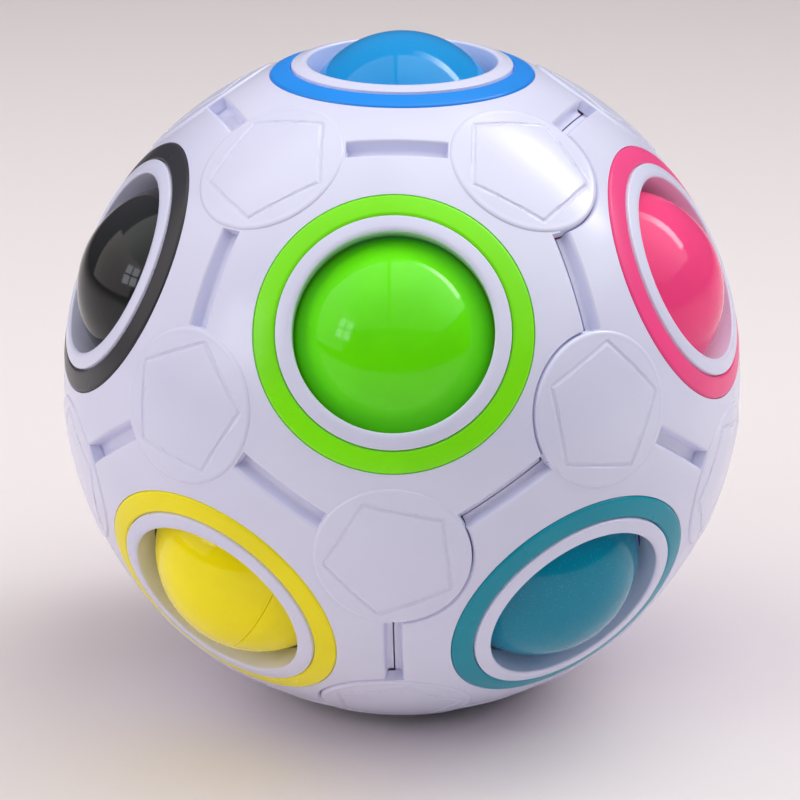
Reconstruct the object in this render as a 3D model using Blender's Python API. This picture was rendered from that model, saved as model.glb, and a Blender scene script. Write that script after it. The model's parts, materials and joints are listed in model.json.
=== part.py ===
"""Spherical shift puzzle: a moulded ball-shaped shell with twelve round holes and eleven loose coloured balls.

The holes lie on the twelve directions of an icosahedron. Each hole has a standing collar, and round the
collar a coloured ring is pressed into a well. A ball sits behind eleven of the collars, held up against
its seat by a hollow rubber core. The twelfth hole, at the bottom, is empty, and a neighbouring ball can be
pushed in and across to it. The shell is two interlocking halves that meet on a zigzag seam.

Metres, +Z up, front towards -Y. The origin is on the table, under the centre of the puzzle.
"""

import math

import bmesh
import bpy
from mathutils import Euler, Matrix, Vector

MM = 0.001

# Shell
SHELL_RADIUS = 35.0 * MM
SHELL_WALL = 2.0 * MM
OUTER_DETAIL = 3
INNER_DETAIL = 3
SPHERE_TURN = (0.13, 0.31, 0.07)

# Balls: each one is two hollow cups, welded at their rims
BALL_RADIUS = 10.5 * MM
BALL_PROUD = 1.5 * MM
BALL_WALL = 1.3 * MM
BALL_SEGMENTS = 14
BALL_RINGS = 3
WELD_GAP = 0.3 * MM
YELLOW_PARTING_TILT = math.radians(115.4)
YELLOW_PARTING_TURN = math.radians(-48.1)

# Holes, their collars and the wells that the coloured rings sit in
SEAT_LIP = 0.9 * MM
SEAT_GAP = 0.3 * MM
SEAT_RELIEF = 0.2 * MM
SEAT_FLARE = 0.55 * MM
COLLAR_WIDTH = 1.6 * MM
COLLAR_STAND = 0.04 * MM
COLLAR_SEGMENTS = 18
WELL_WIDTH = 2.15 * MM
WELL_DEPTH = 2.2 * MM
WELL_FLOOR_THICKNESS = 1.0 * MM
WELL_FLOOR_EDGE = 0.4 * MM
WELL_FLOOR_OVERLAP = 0.15 * MM
BORE_OVERRUN = 2.0 * MM

# Coloured rings
RING_GAP = 0.3 * MM
RING_PROUD = 0.12 * MM

# Rubber core
CORE_GAP = 0.3 * MM
CORE_WALL = 2.0 * MM
CORE_VENT_RADIUS = 1.5 * MM
CORE_SEGMENTS = 14

# Flat round pads at the corners between three holes, and the grooves that run from pad to pad
PAD_RADIUS = 7.6 * MM
PAD_PROUD = 0.3 * MM
PAD_DEPTH = 2.0 * MM
PAD_TWIST = math.radians(5.0)
PAD_SEGMENTS = 14
GROOVE_WIDTH = 1.7 * MM
GROOVE_DEPTH = 1.0 * MM
GROOVE_RUN_UNDER_PAD = 0.6 * MM

# The seam between the halves, and the tongues that bridge it inside the wall
SEAM_GAP = 0.3 * MM
PAD_LEDGE = 0.15 * MM
PAD_CUT_REACH = 8.0 * MM
TONGUE_LENGTH = 8.0 * MM
TONGUE_REACH = 3.0 * MM
TONGUE_ROOT = 3.5 * MM
TONGUE_THICKNESS = 1.1 * MM
TONGUE_CLEARANCE = 0.9 * MM
TONGUE_BITE = 0.8 * MM
TONGUE_SHOULDER = 0.6 * MM

# The shifting ball's path to the empty hole: its first push leans this far from straight in
SHIFT_LEAN = math.radians(30.0)

# What follows from the sizes above
BALL_ORBIT = SHELL_RADIUS + BALL_PROUD - BALL_RADIUS
HOLE_RADIUS = BALL_RADIUS - SEAT_LIP
SEAT_HEIGHT = BALL_ORBIT + math.sqrt((BALL_RADIUS + SEAT_GAP) ** 2 - HOLE_RADIUS**2) + SEAT_RELIEF
COLLAR_RADIUS = HOLE_RADIUS + COLLAR_WIDTH
COLLAR_TOP = math.sqrt(SHELL_RADIUS**2 - HOLE_RADIUS**2) + COLLAR_STAND
WELL_RADIUS = COLLAR_RADIUS + WELL_WIDTH
WELL_FLOOR = COLLAR_TOP - WELL_DEPTH
INNER_RADIUS = SHELL_RADIUS - SHELL_WALL
CENTRE = Vector((0.0, 0.0, COLLAR_TOP))
CORE_RADIUS = BALL_ORBIT - BALL_RADIUS - CORE_GAP
FAR = 1.5 * SHELL_RADIUS

# Holes by name: azimuth from the front, turning towards +X, and latitude
TILT = math.atan(0.5)
HOLES = {
    "blue": (0.0, math.pi / 2),
    "green": (0.0, TILT),
    "pink": (72.0, TILT),
    "orange": (144.0, TILT),
    "red": (216.0, TILT),
    "black": (288.0, TILT),
    "teal": (36.0, -TILT),
    "violet": (108.0, -TILT),
    "navy": (180.0, -TILT),
    "brown": (252.0, -TILT),
    "yellow": (324.0, -TILT),
    "grey": (0.0, -math.pi / 2),
}
EMPTY_HOLE = "grey"
SHIFTING_BALL = "teal"
LEFT_HALF = ("black", "blue", "green", "yellow", "brown", "red")
LEFT_POLE = "black"

COLOURS = {
    "blue": (0.045, 0.30, 0.90),
    "green": (0.18, 0.68, 0.015),
    "pink": (0.95, 0.10, 0.25),
    "orange": (0.92, 0.22, 0.02),
    "red": (0.65, 0.01, 0.02),
    "black": (0.05, 0.05, 0.05),
    "teal": (0.02, 0.27, 0.35),
    "violet": (0.20, 0.06, 0.45),
    "navy": (0.02, 0.06, 0.35),
    "brown": (0.16, 0.06, 0.02),
    "yellow": (0.75, 0.65, 0.02),
    "grey": (0.35, 0.36, 0.38),
}
SHELL_COLOUR = (0.76, 0.74, 0.90)
RUBBER_COLOUR = (0.10, 0.10, 0.11)


def clear_scene():
    """Removes whatever the file opened with."""
    for thing in list(bpy.data.objects):
        bpy.data.objects.remove(thing)


def plastic(name, colour, roughness):
    """A plain moulded finish."""
    material = bpy.data.materials.new(name)
    material.use_nodes = True
    shader = material.node_tree.nodes["Principled BSDF"]
    shader.inputs["Base Color"].default_value = (*colour, 1.0)
    shader.inputs["Roughness"].default_value = roughness
    shader.inputs["Metallic"].default_value = 0.0
    return material


def add_object(name, mesh, material=None):
    """Links a mesh to the scene under its own name."""
    thing = bpy.data.objects.new(name, mesh)
    bpy.context.scene.collection.objects.link(thing)
    if material:
        mesh.materials.append(material)
    return thing


def as_tool(thing):
    """Marks an object as a cutter or a joining tool, which isn't part of the puzzle."""
    thing.hide_render = True
    thing.display_type = "WIRE"
    return thing


def combine(thing, tool, operation):
    """Adds a Boolean modifier."""
    step = thing.modifiers.new(f"{operation.lower()}_{tool.name}", "BOOLEAN")
    step.operation = operation
    step.solver = "EXACT"
    step.object = tool


def finish_mesh(bm, name):
    """Turns a bmesh into a mesh whose faces point outwards."""
    bmesh.ops.recalc_face_normals(bm, faces=bm.faces)
    if bm.calc_volume(signed=True) < 0.0:
        bmesh.ops.reverse_faces(bm, faces=bm.faces)
    mesh = bpy.data.meshes.new(name)
    bm.to_mesh(mesh)
    bm.free()
    return mesh


def turn_profile(bm, profile, segments, place=Matrix.Identity(4)):
    """Turns a profile of (radius, height) points about +Z into a closed body.

    A profile that starts and ends on the axis is capped by its poles, and any other is a closed loop.
    """
    rings = []
    for radius, height in profile:
        if radius == 0.0:
            rings.append([bm.verts.new(place @ Vector((0.0, 0.0, height)))])
            continue
        ring = []
        for step in range(segments):
            angle = 2.0 * math.pi * step / segments
            corner = Vector((radius * math.cos(angle), radius * math.sin(angle), height))
            ring.append(bm.verts.new(place @ corner))
        rings.append(ring)
    pairs = list(zip(rings, rings[1:]))
    if len(rings[0]) > 1:
        pairs.append((rings[-1], rings[0]))
    for lower, upper in pairs:
        for step in range(segments):
            after = (step + 1) % segments
            if len(lower) == 1:
                bm.faces.new((lower[0], upper[step], upper[after]))
            elif len(upper) == 1:
                bm.faces.new((lower[step], upper[0], lower[after]))
            else:
                bm.faces.new((lower[step], upper[step], upper[after], lower[after]))


def turned_mesh(name, profile, segments, places=(Matrix.Identity(4),)):
    """One mesh with a turned body at each place."""
    bm = bmesh.new()
    for place in places:
        turn_profile(bm, profile, segments, place)
    return finish_mesh(bm, name)


def prism(bm, outline, half_length, place):
    """Extrudes an outline of (across, up) points along the local X axis, both ways from the middle."""
    ends = []
    for along in (-half_length, half_length):
        ends.append([bm.verts.new(place @ Vector((along, across, up))) for across, up in outline])
    near, far = ends
    bm.faces.new(near)
    bm.faces.new(list(reversed(far)))
    for index in range(len(outline)):
        after = (index + 1) % len(outline)
        bm.faces.new((near[index], far[index], far[after], near[after]))


def arc(radius, start, end, steps):
    """Points (radius, height) of a round profile, from one angle off the axis to another."""
    points = []
    for step in range(steps + 1):
        angle = start + (end - start) * step / steps
        points.append((radius * math.sin(angle), radius * math.cos(angle)))
    return points


def direction(azimuth, latitude):
    """Unit vector of a hole, from its azimuth in degrees and its latitude in radians."""
    turn = math.radians(azimuth)
    flat = math.cos(latitude)
    return Vector((flat * math.sin(turn), -flat * math.cos(turn), math.sin(latitude)))


def facing(axis):
    """Places a body built about +Z so that it points along an axis from the puzzle's centre."""
    return Matrix.Translation(CENTRE) @ axis.to_track_quat("Z", "Y").to_matrix().to_4x4()


AXES = {name: direction(*angles) for name, angles in HOLES.items()}
NEIGHBOUR_COSINE = 1.0 / math.sqrt(5.0)


def are_neighbours(first, second):
    """True for two holes that share an edge."""
    return abs(AXES[first].dot(AXES[second]) - NEIGHBOUR_COSINE) < 1e-4


def find_edges():
    """Every pair of neighbouring holes."""
    names = list(AXES)
    pairs = []
    for index, first in enumerate(names):
        pairs += [(first, second) for second in names[index + 1 :] if are_neighbours(first, second)]
    return pairs


def find_corners():
    """Every three holes that meet at a corner, with the corner's direction."""
    corners = []
    for first, second in find_edges():
        for third in AXES:
            later = list(AXES).index(third) > list(AXES).index(second)
            if later and are_neighbours(first, third) and are_neighbours(second, third):
                middle = (AXES[first] + AXES[second] + AXES[third]).normalized()
                corners.append(((first, second, third), middle))
    return corners


EDGES = find_edges()
CORNERS = find_corners()


def edge_frame(first, second):
    """Place of an edge's middle: X along the edge, Y across it towards the first hole, Z outwards."""
    outward = (AXES[first] + AXES[second]).normalized()
    across = (AXES[first] - AXES[second]).normalized()
    along = across.cross(outward)
    turn = Matrix((along, across, outward)).transposed()
    return Matrix.Translation(CENTRE) @ turn.to_4x4()


def sphere_mesh(name, radius, detail):
    """An icosphere, turned a little so that none of its edges runs along a groove or a seam."""
    bm = bmesh.new()
    place = Matrix.Translation(CENTRE) @ Euler(SPHERE_TURN).to_matrix().to_4x4()
    bmesh.ops.create_icosphere(bm, subdivisions=detail, radius=radius, matrix=place)
    return finish_mesh(bm, name)


def boss_profile():
    """Section of the thick boss that a collar, its bore and its ring's well are cut from."""
    under = WELL_FLOOR - WELL_FLOOR_THICKNESS
    rim = WELL_RADIUS + WELL_FLOOR_OVERLAP
    middle = (COLLAR_RADIUS + WELL_RADIUS) / 2
    shoulder = WELL_FLOOR + RING_GAP
    return [
        (0.0, under),
        (HOLE_RADIUS + SEAT_FLARE, under),
        (rim, WELL_FLOOR - WELL_FLOOR_EDGE),
        (rim, shoulder),
        (middle, shoulder),
        (middle, COLLAR_TOP),
        (0.0, COLLAR_TOP),
    ]


def bore_profile():
    """Section of what is bored out of a boss: a straight hole that flares inside to seat the ball."""
    under = WELL_FLOOR - WELL_FLOOR_THICKNESS
    slope = SEAT_FLARE / (SEAT_HEIGHT - under)
    low = under - BORE_OVERRUN
    return [
        (0.0, low),
        (HOLE_RADIUS + slope * (SEAT_HEIGHT - low), low),
        (HOLE_RADIUS, SEAT_HEIGHT),
        (HOLE_RADIUS, FAR),
        (0.0, FAR),
    ]


def pad_profile():
    """Section of a corner pad: a low dome that follows the shell a little proud of it."""
    crown = SHELL_RADIUS + PAD_PROUD
    root = crown - PAD_DEPTH
    return arc(crown, 0.0, math.asin(PAD_RADIUS / crown), 2) + [(PAD_RADIUS, root), (0.0, root)]


def groove_mesh():
    """A straight cutter along every edge, from under one pad to under the next."""
    half_edge = 0.5 * math.acos(math.sqrt(5.0) / 3.0)
    pad_angle = math.asin(PAD_RADIUS / SHELL_RADIUS)
    half_length = SHELL_RADIUS * math.sin(half_edge - pad_angle) + GROOVE_RUN_UNDER_PAD
    floor, top, side = SHELL_RADIUS - GROOVE_DEPTH, SHELL_RADIUS + GROOVE_WIDTH, GROOVE_WIDTH / 2
    outline = [(-side, floor), (side, floor), (side, top), (-side, top)]
    bm = bmesh.new()
    for first, second in EDGES:
        prism(bm, outline, half_length, edge_frame(first, second))
    return finish_mesh(bm, "grooves")


def shell_tools():
    """The shapes that turn a plain sphere into the whole shell, in the order they are applied."""
    holes = [facing(axis) for axis in AXES.values()]
    twist = Matrix.Rotation(math.pi / COLLAR_SEGMENTS, 4, "Z")
    twisted = [place @ twist for place in holes]
    corners = [facing(middle) @ Matrix.Rotation(PAD_TWIST, 4, "Z") for _, middle in CORNERS]
    well = [
        (COLLAR_RADIUS, WELL_FLOOR),
        (WELL_RADIUS, WELL_FLOOR),
        (WELL_RADIUS, FAR),
        (COLLAR_RADIUS, FAR),
    ]
    meshes = [
        ("DIFFERENCE", sphere_mesh("inner_sphere", INNER_RADIUS, INNER_DETAIL)),
        ("UNION", turned_mesh("bosses", boss_profile(), COLLAR_SEGMENTS, twisted)),
        ("DIFFERENCE", turned_mesh("wells", well, COLLAR_SEGMENTS, holes)),
        ("DIFFERENCE", turned_mesh("bores", bore_profile(), COLLAR_SEGMENTS, holes)),
        ("DIFFERENCE", groove_mesh()),
        ("UNION", turned_mesh("pads", pad_profile(), PAD_SEGMENTS, corners)),
    ]
    return [(operation, as_tool(add_object(f"tool_{mesh.name}", mesh))) for operation, mesh in meshes]


def half_region(side, holes, own_share, pole):
    """The space that one half of the shell may fill, with its pads' round edges and a gap at the seam."""
    bm = bmesh.new()
    retreat = CENTRE + pole * (SEAM_GAP / 2) / seam_slope()
    apex = bm.verts.new(retreat)
    outer = {}
    for names, middle in CORNERS:
        if any(name in holes for name in names):
            outer[names] = bm.verts.new(retreat + middle * FAR)
    for hole in holes:
        turn = facing(AXES[hole]).to_3x3().inverted()
        around = [names for names in outer if hole in names]
        local = {names: turn @ (outer[names].co - retreat) for names in around}
        around.sort(key=lambda names: math.atan2(local[names].y, local[names].x))
        bm.faces.new([outer[names] for names in around])
    for first, second in EDGES:
        if (first in holes) != (second in holes):
            ends = [outer[names] for names, _ in CORNERS if first in names and second in names]
            bm.faces.new((apex, *ends))
    region = as_tool(add_object(f"tool_region_{side}", finish_mesh(bm, f"region_{side}")))
    own, other = [], []
    for names, middle in CORNERS:
        share = sum(name in holes for name in names)
        if share == own_share:
            own.append(facing(middle))
        elif share == 3 - own_share:
            other.append(facing(middle))
    low, high = SHELL_RADIUS - PAD_CUT_REACH, SHELL_RADIUS + PAD_CUT_REACH
    for label, radius, places, operation in (
        ("own", PAD_RADIUS + PAD_LEDGE, own, "UNION"),
        ("other", PAD_RADIUS + PAD_LEDGE + SEAM_GAP, other, "DIFFERENCE"),
    ):
        profile = [(0.0, low), (radius, low), (radius, high), (0.0, high)]
        mesh = turned_mesh(f"{side}_{label}_pads", profile, PAD_SEGMENTS, places)
        combine(region, as_tool(add_object(f"tool_{side}_{label}_pads", mesh)), operation)
    return region


def seam_slope():
    """How far a seam plane moves across itself when it moves along the halves' common axis."""
    seam = [(a, b) for a, b in EDGES if (a in LEFT_HALF) != (b in LEFT_HALF)]
    first, second = seam[0]
    return abs((AXES[first] - AXES[second]).normalized().dot(AXES[LEFT_POLE]))


def tongues(side, holes, parity):
    """Locking tongues on every second seam edge, rooted in this half and reaching behind the other."""
    bm = bmesh.new()
    top = INNER_RADIUS - TONGUE_CLEARANCE
    bottom = top - TONGUE_THICKNESS
    outline = [
        (-TONGUE_REACH, bottom),
        (TONGUE_ROOT, bottom),
        (TONGUE_ROOT, INNER_RADIUS + TONGUE_BITE),
        (TONGUE_SHOULDER, INNER_RADIUS + TONGUE_BITE),
        (TONGUE_SHOULDER, top),
        (-TONGUE_REACH, top),
    ]
    pole = AXES[LEFT_POLE]
    seam = [(a, b) for a, b in EDGES if (a in LEFT_HALF) != (b in LEFT_HALF)]
    reference = facing(pole).to_3x3().inverted()

    def turn_about_pole(pair):
        middle = reference @ (AXES[pair[0]] + AXES[pair[1]])
        return math.atan2(middle.y, middle.x)

    seam.sort(key=turn_about_pole)
    for first, second in seam[parity::2]:
        inside, outside = (first, second) if first in holes else (second, first)
        prism(bm, outline, TONGUE_LENGTH / 2, edge_frame(inside, outside))
    return as_tool(add_object(f"tool_tongues_{side}", finish_mesh(bm, f"tongues_{side}")))


def build_shell():
    """The two interlocking halves of the shell."""
    tools = shell_tools()
    right = tuple(name for name in HOLES if name not in LEFT_HALF)
    sides = (("left", LEFT_HALF, AXES[LEFT_POLE], 0), ("right", right, -AXES[LEFT_POLE], 1))
    for side, holes, pole, parity in sides:
        finish = plastic(f"shell_{side}", SHELL_COLOUR, 0.35)
        half = add_object(f"shell_half_{side}", sphere_mesh(f"shell_half_{side}", SHELL_RADIUS, OUTER_DETAIL), finish)
        for operation, tool in tools:
            combine(half, tool, operation)
        combine(half, half_region(side, holes, 2, pole), "INTERSECT")
        combine(half, tongues(side, holes, parity), "UNION")


def build_rings():
    """A coloured ring round each collar."""
    inner, outer = COLLAR_RADIUS + RING_GAP, WELL_RADIUS - RING_GAP
    floor = WELL_FLOOR + RING_GAP
    crown = SHELL_RADIUS + RING_PROUD
    profile = [
        (inner, floor),
        (outer, floor),
        (outer, math.sqrt(crown**2 - outer**2)),
        (inner, math.sqrt(crown**2 - inner**2)),
    ]
    for name, axis in AXES.items():
        mesh = turned_mesh(f"ring_{name}", profile, COLLAR_SEGMENTS)
        ring = add_object(f"ring_{name}", mesh, plastic(f"ring_{name}", COLOURS[name], 0.4))
        ring.matrix_world = facing(axis)


def cup_profile():
    """Section of half a ball: a round cup whose rim is half the weld gap above the ball's middle."""
    inner = BALL_RADIUS - BALL_WALL
    outside = arc(BALL_RADIUS, 0.0, math.acos(WELD_GAP / 2 / BALL_RADIUS), BALL_RINGS)
    inside = arc(inner, math.acos(WELD_GAP / 2 / inner), 0.0, BALL_RINGS)
    outside[0] = (0.0, BALL_RADIUS)
    inside[-1] = (0.0, inner)
    return outside + inside


def shift_pivot():
    """Point on the axis that the shifting ball turns about, outside the shell between the two holes."""
    start, end = AXES[SHIFTING_BALL], AXES[EMPTY_HOLE]
    half_angle = start.angle(end) / 2
    swing = BALL_ORBIT * math.sin(half_angle) / math.cos(SHIFT_LEAN + half_angle)
    reach = swing * math.cos(SHIFT_LEAN) / math.sin(half_angle)
    return CENTRE + (start + end).normalized() * reach


def build_balls():
    """Eleven balls, each of two welded cups. A ball's parent empty stands on its joint's axis."""
    for name, axis in AXES.items():
        if name == EMPTY_HOLE:
            continue
        middle = CENTRE + axis * BALL_ORBIT
        holder = bpy.data.objects.new(f"axis_{name}", None)
        bpy.context.scene.collection.objects.link(holder)
        holder.location = shift_pivot() if name == SHIFTING_BALL else middle
        turn = axis.to_track_quat("Z", "Y").to_matrix().to_4x4()
        if name == "yellow":
            lean = Matrix.Rotation(YELLOW_PARTING_TILT, 4, "Y")
            turn = turn @ Matrix.Rotation(YELLOW_PARTING_TURN, 4, "Z") @ lean
        flip = Matrix.Rotation(math.pi, 4, "X")
        for half, pose in (("outer", Matrix.Identity(4)), ("inner", flip)):
            mesh = turned_mesh(f"ball_{name}_{half}", cup_profile(), BALL_SEGMENTS)
            mesh.shade_smooth()
            finish = plastic(f"ball_{name}_{half}", COLOURS[name], 0.12)
            cup = add_object(f"ball_{name}_{half}", mesh, finish)
            cup.parent = holder
            cup.matrix_local = Matrix.Translation(middle - holder.location) @ turn @ pose


def build_core():
    """Hollow rubber ball that holds the balls out, with its vent facing the empty hole."""
    vent = math.asin(CORE_VENT_RADIUS / CORE_RADIUS)
    inner = CORE_RADIUS - CORE_WALL
    vent_inside = math.asin(CORE_VENT_RADIUS / inner)
    outside = arc(CORE_RADIUS, 0.0, math.pi - vent, 7)
    inside = arc(inner, math.pi - vent_inside, 0.0, 6)
    outside[0] = (0.0, CORE_RADIUS)
    inside[-1] = (0.0, inner)
    mesh = turned_mesh("core_ball", outside + inside, CORE_SEGMENTS)
    mesh.shade_smooth()
    core = add_object("core_ball", mesh, plastic("core_ball", RUBBER_COLOUR, 0.7))
    core.location = CENTRE


def main():
    clear_scene()
    build_shell()
    build_rings()
    build_balls()
    build_core()


main()
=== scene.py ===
"""Spherical shift puzzle: a white shell with twelve round holes and eleven loose coloured balls.

Every hole has a standing collar with a coloured ring pressed in round it. The shell is two halves
that meet on a zigzag seam, with a round pad at each of its twenty corners and a groove along each
of its thirty edges.

Everything is modelled about the middle of the shell and lifted to its place at the end.
"""

import json
import logging
import math
from dataclasses import dataclass, field
from enum import Enum
from typing import Callable, Iterable, Sequence

import bpy
from mathutils import Matrix, Vector

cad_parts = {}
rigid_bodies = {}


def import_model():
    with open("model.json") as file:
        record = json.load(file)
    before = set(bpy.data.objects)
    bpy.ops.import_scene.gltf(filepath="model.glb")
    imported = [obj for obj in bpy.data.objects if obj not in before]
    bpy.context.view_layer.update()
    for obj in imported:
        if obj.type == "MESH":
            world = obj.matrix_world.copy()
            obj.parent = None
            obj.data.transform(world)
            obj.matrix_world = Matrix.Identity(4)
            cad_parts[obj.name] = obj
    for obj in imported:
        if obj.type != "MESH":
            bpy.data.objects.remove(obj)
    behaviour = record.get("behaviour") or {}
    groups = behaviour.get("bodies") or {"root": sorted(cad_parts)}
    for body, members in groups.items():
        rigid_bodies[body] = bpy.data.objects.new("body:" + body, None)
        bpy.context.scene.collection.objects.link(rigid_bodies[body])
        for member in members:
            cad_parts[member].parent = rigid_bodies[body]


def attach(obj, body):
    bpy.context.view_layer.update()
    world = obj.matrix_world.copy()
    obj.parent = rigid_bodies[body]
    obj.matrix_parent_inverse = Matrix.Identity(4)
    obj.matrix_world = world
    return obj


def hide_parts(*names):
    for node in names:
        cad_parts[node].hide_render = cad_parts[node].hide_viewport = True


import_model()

MM = 0.001
QUARTER = math.pi / 2

# The holes sit at the points of a regular twenty-sided solid that stands on one of them.
TILT = math.degrees(math.atan(0.5))
NEIGHBOUR_COSINE = 1.0 / math.sqrt(5.0)
CORNER_SPACING = math.acos(math.sqrt(5.0) / 3.0)

SAME_COSINE = 1e-4
MERGE = 1e-6
SMOOTH_ANGLE = math.radians(32.0)

# A Mix node's colour sockets share their names with others, so they go by number.
MIX_LOWER, MIX_UPPER, MIX_RESULT = 6, 7, 2
# Noise seldom leaves the middle of its range, so the middle is what a pattern stretches.
NOISE_LOW, NOISE_HIGH = 0.3, 0.7
SOFT_DETAIL = 2.0

Point = tuple[float, float]
Colour = tuple[float, float, float, float]
Object = bpy.types.Object
Material = bpy.types.Material
Socket = bpy.types.NodeSocket
log = logging.getLogger("puzzle")


# ---- layout


class Hole(Enum):
    """The twelve holes by the colour of their rings, as azimuth from the front and latitude."""

    BLUE = (0.0, 90.0)
    GREEN = (0.0, TILT)
    PINK = (72.0, TILT)
    ORANGE = (144.0, TILT)
    RED = (216.0, TILT)
    BLACK = (288.0, TILT)
    TEAL = (36.0, -TILT)
    VIOLET = (108.0, -TILT)
    NAVY = (180.0, -TILT)
    BROWN = (252.0, -TILT)
    YELLOW = (324.0, -TILT)
    GREY = (0.0, -90.0)

    @property
    def label(self) -> str:
        """The colour's name as the pieces carry it."""
        return self.name.lower()

    @property
    def axis(self) -> Vector:
        """Where the hole points.

        Returns:
            Unit vector from the middle of the shell out through the hole.
        """
        turn, rise = (math.radians(angle) for angle in self.value)
        flat = math.cos(rise)
        return Vector((flat * math.sin(turn), -flat * math.cos(turn), math.sin(rise)))

    def is_beside(self, other: "Hole") -> bool:
        """True where two holes share an edge."""
        return abs(self.axis.dot(other.axis) - NEIGHBOUR_COSINE) < SAME_COSINE


# The grey hole has no ball, which is the room that the others are shifted into.
BALL_HOLES = [hole for hole in Hole if hole is not Hole.GREY]


class Side(Enum):
    """The two halves of the shell, each named by the hole at its pole."""

    LEFT = Hole.BLACK
    RIGHT = Hole.VIOLET

    @property
    def label(self) -> str:
        """The side's name as the pieces carry it."""
        return self.name.lower()

    @property
    def holes(self) -> list[Hole]:
        """The pole's hole and the five round it."""
        return [hole for hole in Hole if hole is self.value or hole.is_beside(self.value)]


@dataclass(frozen=True)
class Edge:
    """The line between two neighbouring holes, from corner to corner."""

    first: Hole
    second: Hole

    @property
    def place(self) -> Matrix:
        """Where the edge lies.

        Returns:
            Frame at its middle: X along it, Y across it to the first hole, Z outwards.
        """
        outward = (self.first.axis + self.second.axis).normalized()
        across = (self.first.axis - self.second.axis).normalized()
        return Matrix((across.cross(outward), across, outward)).transposed().to_4x4()

    def crosses(self, side: Side) -> bool:
        """True where the edge lies on the seam."""
        return (self.first in side.holes) != (self.second in side.holes)


@dataclass(frozen=True)
class Corner:
    """A point where three holes' territories meet."""

    holes: tuple[Hole, Hole, Hole]

    @property
    def axis(self) -> Vector:
        """Unit vector out through the corner."""
        return sum((hole.axis for hole in self.holes), Vector()).normalized()

    def share(self, side: Side) -> int:
        """How many of the three holes belong to a side."""
        return sum(hole in side.holes for hole in self.holes)

    @property
    def owner(self) -> Side:
        """The half that the corner's pad is moulded on."""
        return Side.LEFT if self.share(Side.LEFT) >= 2 else Side.RIGHT

    @property
    def pointer(self) -> Hole:
        """The hole that the engraved pentagon points to."""
        strangers = [hole for hole in self.holes if hole not in self.owner.holes]
        return strangers[0] if strangers else self.owner.value


def all_edges() -> list[Edge]:
    """Every edge of the layout, once."""
    holes = list(Hole)
    return [Edge(a, b) for i, a in enumerate(holes) for b in holes[i + 1 :] if a.is_beside(b)]


def all_corners() -> list[Corner]:
    """Finds every corner of the layout.

    Returns:
        The twenty corners, each once.
    """
    holes = list(Hole)
    return [
        Corner((edge.first, edge.second, third))
        for edge in all_edges()
        for third in holes[holes.index(edge.second) + 1 :]
        if third.is_beside(edge.first) and third.is_beside(edge.second)
    ]


def facing(axis: Vector) -> Matrix:
    """Turns what is built about +Z to point along an axis, with +Y towards the puzzle's top."""
    return axis.to_track_quat("Z", "Y").to_matrix().to_4x4()


def pointing(axis: Vector, target: Vector) -> Matrix:
    """Turns what is built about +Z to point along an axis, with +Y leaning towards a target."""
    lean = (target - axis * target.dot(axis)).normalized()
    return Matrix((lean.cross(axis), lean, axis)).transposed().to_4x4()


# ---- profiles


def rounded(corners: Sequence[tuple[float, float, float]], steps: int = 4) -> list[Point]:
    """A profile with its corners rounded off.

    Args:
        corners: each corner as (radius, height, rounding); a rounding of 0 leaves it sharp.
        steps: how many straight pieces make each rounding.

    Returns:
        The profile's points in order.
    """
    points: list[Point] = []
    for index, (radius, height, rounding) in enumerate(corners):
        if rounding == 0.0:
            points.append((radius, height))
            continue
        here = Vector((radius, height))
        back = (Vector(corners[index - 1][:2]) - here).normalized()
        ahead = (Vector(corners[(index + 1) % len(corners)][:2]) - here).normalized()
        half = back.angle(ahead) / 2
        start = here + back * rounding / math.tan(half)
        end = here + ahead * rounding / math.tan(half)
        middle = here + (back + ahead).normalized() * rounding / math.sin(half)
        spoke = start - middle
        sweep = spoke.angle_signed(end - middle)
        for step in range(steps + 1):
            turn = -sweep * step / steps
            cosine, sine = math.cos(turn), math.sin(turn)
            across = spoke.x * cosine - spoke.y * sine
            up = spoke.x * sine + spoke.y * cosine
            points.append((middle.x + across, middle.y + up))
    return points


def quarter_round(start: Point, end: Point, steps: int, level: bool = False) -> list[Point]:
    """A quarter of a circle, or of an ellipse, between two points of a profile.

    Args:
        start: its first point.
        end: its last point.
        steps: how many straight pieces it has.
        level: whether it leaves its start level, and not upright.

    Returns:
        The points, with both ends.
    """
    points = []
    for step in range(steps + 1):
        angle = QUARTER * step / steps
        shares = (1.0 - math.cos(angle), math.sin(angle))
        across, up = reversed(shares) if level else shares
        (x, y), (x_end, y_end) = start, end
        points.append((x + (x_end - x) * across, y + (y_end - y) * up))
    return points


def arc(radius: float, start: float, end: float, steps: int) -> list[Point]:
    """Points (radius, height) on a round profile from one angle off the axis to another."""
    angles = [start + (end - start) * step / steps for step in range(steps + 1)]
    return [(radius * math.sin(angle), radius * math.cos(angle)) for angle in angles]


# ---- modelling moves


def deselect() -> None:
    """Clears the selection and the active object."""
    if bpy.context.object and bpy.context.object.mode != "OBJECT":
        bpy.ops.object.mode_set(mode="OBJECT")
    for thing in bpy.context.view_layer.objects:
        thing.select_set(False)
    bpy.context.view_layer.objects.active = None


def activate(thing: Object) -> None:
    """Makes one object the only one selected, and the active one.

    Args:
        thing: the object.
    """
    deselect()
    thing.select_set(True)
    bpy.context.view_layer.objects.active = thing


def start_edit() -> None:
    """Enters edit mode on the active object, with all its vertices selected."""
    bpy.ops.object.mode_set(mode="EDIT")
    bpy.ops.mesh.select_mode(type="VERT")
    bpy.ops.mesh.select_all(action="SELECT")


def end_edit() -> None:
    """Returns to object mode."""
    bpy.ops.object.mode_set(mode="OBJECT")


def tidy_mesh() -> None:
    """Closes poles and seams of the mesh in edit mode and points its faces outwards."""
    bpy.ops.mesh.select_all(action="SELECT")
    bpy.ops.mesh.remove_doubles(threshold=MERGE)
    bpy.ops.mesh.normals_make_consistent(inside=False)
    end_edit()


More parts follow.
